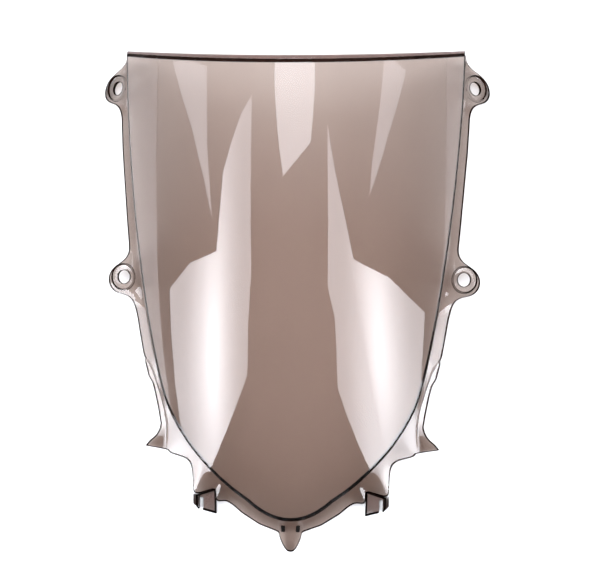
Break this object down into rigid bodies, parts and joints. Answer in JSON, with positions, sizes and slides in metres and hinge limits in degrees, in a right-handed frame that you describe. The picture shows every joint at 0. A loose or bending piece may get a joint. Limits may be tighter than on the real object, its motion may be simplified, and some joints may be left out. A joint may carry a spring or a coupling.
{
  "type": "windshield screen",
  "caption": "Smoke tinted moulded windshield screen with a raised bubble, stepped flange, counterbored ears, side fins, clip pockets and a nose tongue.",
  "frame": {"origin": "centre of the bounding box in X and Y, at the level the screen rests on", "axes": "+X to the screen's right, +Y from the nose to the top edge, +Z out of the bubble's crown"},
  "size_m": [0.3438, 0.441, 0.1055],
  "materials": {
    "smoked_clear": "clear smoke tint, polished",
    "smoked_flange": "clear smoke tint, polished",
    "smoked_edge": "smoke tint seen through its edge, polished"
  },
  "bodies": {
    "root": {"bubble": "smoked_clear", "step_rim": "smoked_edge", "top_lip": "smoked_edge", "side_flange_left": "smoked_flange", "side_flange_right": "smoked_flange", "nose_flange": "smoked_flange", "upper_ear_left": "smoked_flange", "upper_ear_right": "smoked_flange", "lower_ear_left": "smoked_flange", "lower_ear_right": "smoked_flange", "side_fin_left": "smoked_flange", "side_fin_right": "smoked_flange", "clip_pocket_left": "smoked_edge", "clip_pocket_right": "smoked_edge", "nose_tongue": "smoked_flange", "locating_rib_left": "smoked_edge", "locating_rib_right": "smoked_edge"}
  },
  "joints": []
}
